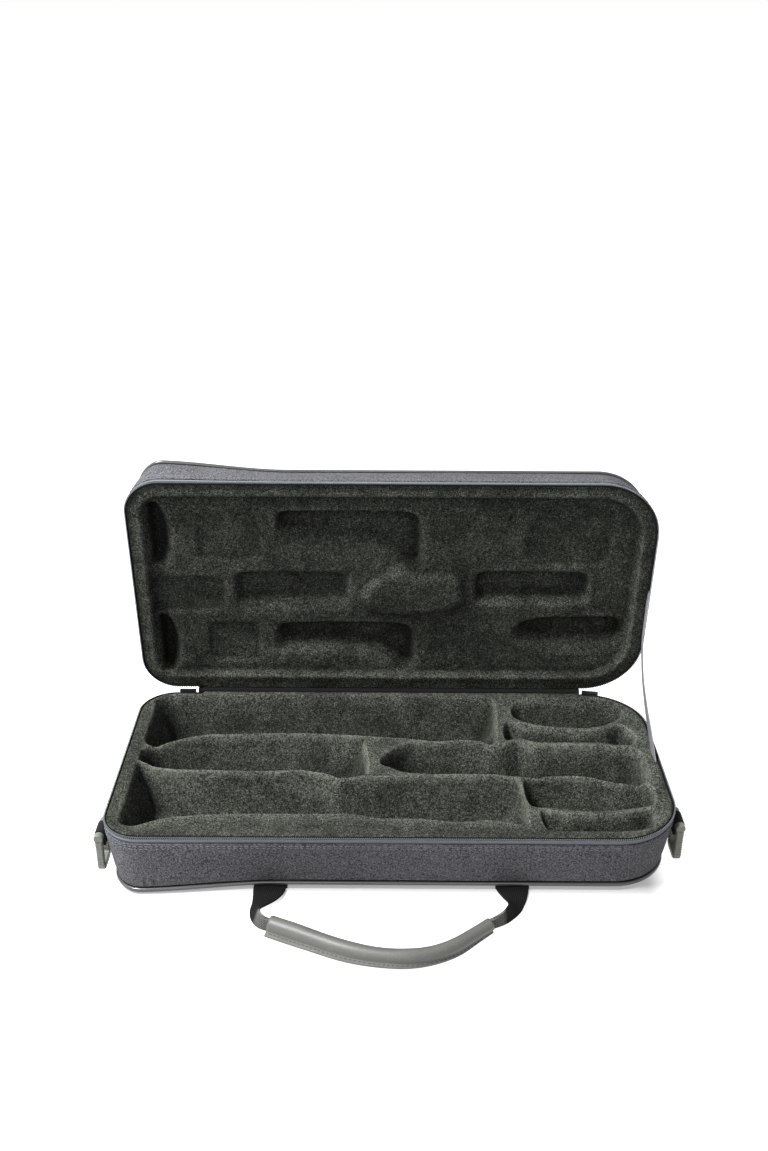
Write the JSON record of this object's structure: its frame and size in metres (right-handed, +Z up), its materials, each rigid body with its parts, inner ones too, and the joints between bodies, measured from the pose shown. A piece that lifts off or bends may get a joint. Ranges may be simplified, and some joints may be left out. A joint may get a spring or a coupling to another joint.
{
  "type": "double clarinet case",
  "caption": "Soft-sided double clarinet case with a zipped, hinged lid, moulded plush inserts, piping, strap rings and a carrying handle.",
  "frame": {"origin": "middle of the flat bottom face, on the floor", "axes": "+X along the case away from the bell ends of its pockets, +Y back to the hinge, +Z up"},
  "size_m": [0.4414, 0.3198, 0.2558],
  "materials": {
    "outer_canvas": "matte",
    "tray_board": "matte",
    "piping_vinyl": "gloss",
    "zipper_tape": "matte",
    "zipper_teeth": "satin",
    "plush": "matte",
    "plush_foam": "matte",
    "hinge_fabric": "matte",
    "webbing": "matte",
    "stay_tape": "satin",
    "filler_rod": "matte",
    "grip_leatherette": "satin",
    "ring_plastic": "satin",
    "zipper_metal": "satin"
  },
  "bodies": {
    "base": {"base_bottom_panel": "outer_canvas", "base_piping": "piping_vinyl", "base_side_cover": "outer_canvas", "base_tray": "tray_board", "base_zipper_tape": "zipper_tape", "base_zipper_coil": "zipper_teeth", "base_foam_floor": "plush_foam", "base_foam_bell_half": "plush_foam", "base_foam_barrel_half": "plush_foam", "base_plush_lip": "plush", "hinge_fabric_base": "hinge_fabric", "ring_tab_left": "webbing", "ring_tab_right": "webbing", "handle_anchor_left": "webbing", "handle_anchor_right": "webbing", "lid_stay": "stay_tape"},
    "lid": {"lid_top_panel": "outer_canvas", "lid_piping": "piping_vinyl", "lid_side_cover": "outer_canvas", "lid_tray": "tray_board", "lid_zipper_tape": "zipper_tape", "lid_zipper_coil": "zipper_teeth", "lid_foam_back": "plush_foam", "lid_foam_rear_row": "plush_foam", "lid_foam_middle_row": "plush_foam", "lid_foam_front_row": "plush_foam", "lid_foam_border": "plush_foam", "lid_plush_lip": "plush", "hinge_fabric_lid": "hinge_fabric"},
    "handle": {"handle_webbing_left": "webbing", "handle_webbing_right": "webbing", "handle_core": "filler_rod", "handle_cover": "grip_leatherette"},
    "strap_ring_left": {"strap_ring_left": "ring_plastic"},
    "strap_ring_right": {"strap_ring_right": "ring_plastic"},
    "zip_slider_left": {"zip_slider_left": "zipper_metal"},
    "zip_slider_right": {"zip_slider_right": "zipper_metal"},
    "zip_pull_left": {"zip_pull_left": "zipper_metal"},
    "zip_pull_right": {"zip_pull_right": "zipper_metal"}
  },
  "joints": [
    {"name": "lid_hinge", "type": "hinge", "parent": "base", "child": "lid", "pos_m": [0, 0.103, 0.0525], "axis": [1, 0, 0], "range_deg": [0, 82.7], "deforming": ["lid_stay"]},
    {"name": "handle_swing", "type": "hinge", "parent": "base", "child": "handle", "pos_m": [0, -0.0968, 0.0013], "axis": [-1, 0, 0], "range_deg": [-75, 58]},
    {"name": "strap_ring_left_swing", "type": "hinge", "parent": "base", "child": "strap_ring_left", "pos_m": [-0.21673, -0.076, 0.038], "axis": [0, 1, 0], "range_deg": [-5, 150]},
    {"name": "strap_ring_right_swing", "type": "hinge", "parent": "base", "child": "strap_ring_right", "pos_m": [0.21673, -0.06, 0.038], "axis": [0, -1, 0], "range_deg": [-5, 150]},
    {"name": "zip_slide_left", "type": "slide", "parent": "base", "child": "zip_slider_left", "axis": [-1, 0, 0], "range_m": [0, 0.01]},
    {"name": "zip_slide_right", "type": "slide", "parent": "base", "child": "zip_slider_right", "axis": [0.9871, -0.16, 0], "range_m": [0, 0.01]},
    {"name": "zip_pull_left_swing", "type": "hinge", "parent": "zip_slider_left", "child": "zip_pull_left", "pos_m": [-0.177, 0.1059, 0.0465], "axis": [1, 0, 0], "range_deg": [-3, 110]},
    {"name": "zip_pull_right_swing", "type": "hinge", "parent": "zip_slider_right", "child": "zip_pull_right", "pos_m": [0.17362, 0.10521, 0.0465], "axis": [0.9871, -0.16, 0], "range_deg": [-3, 110]}
  ]
}
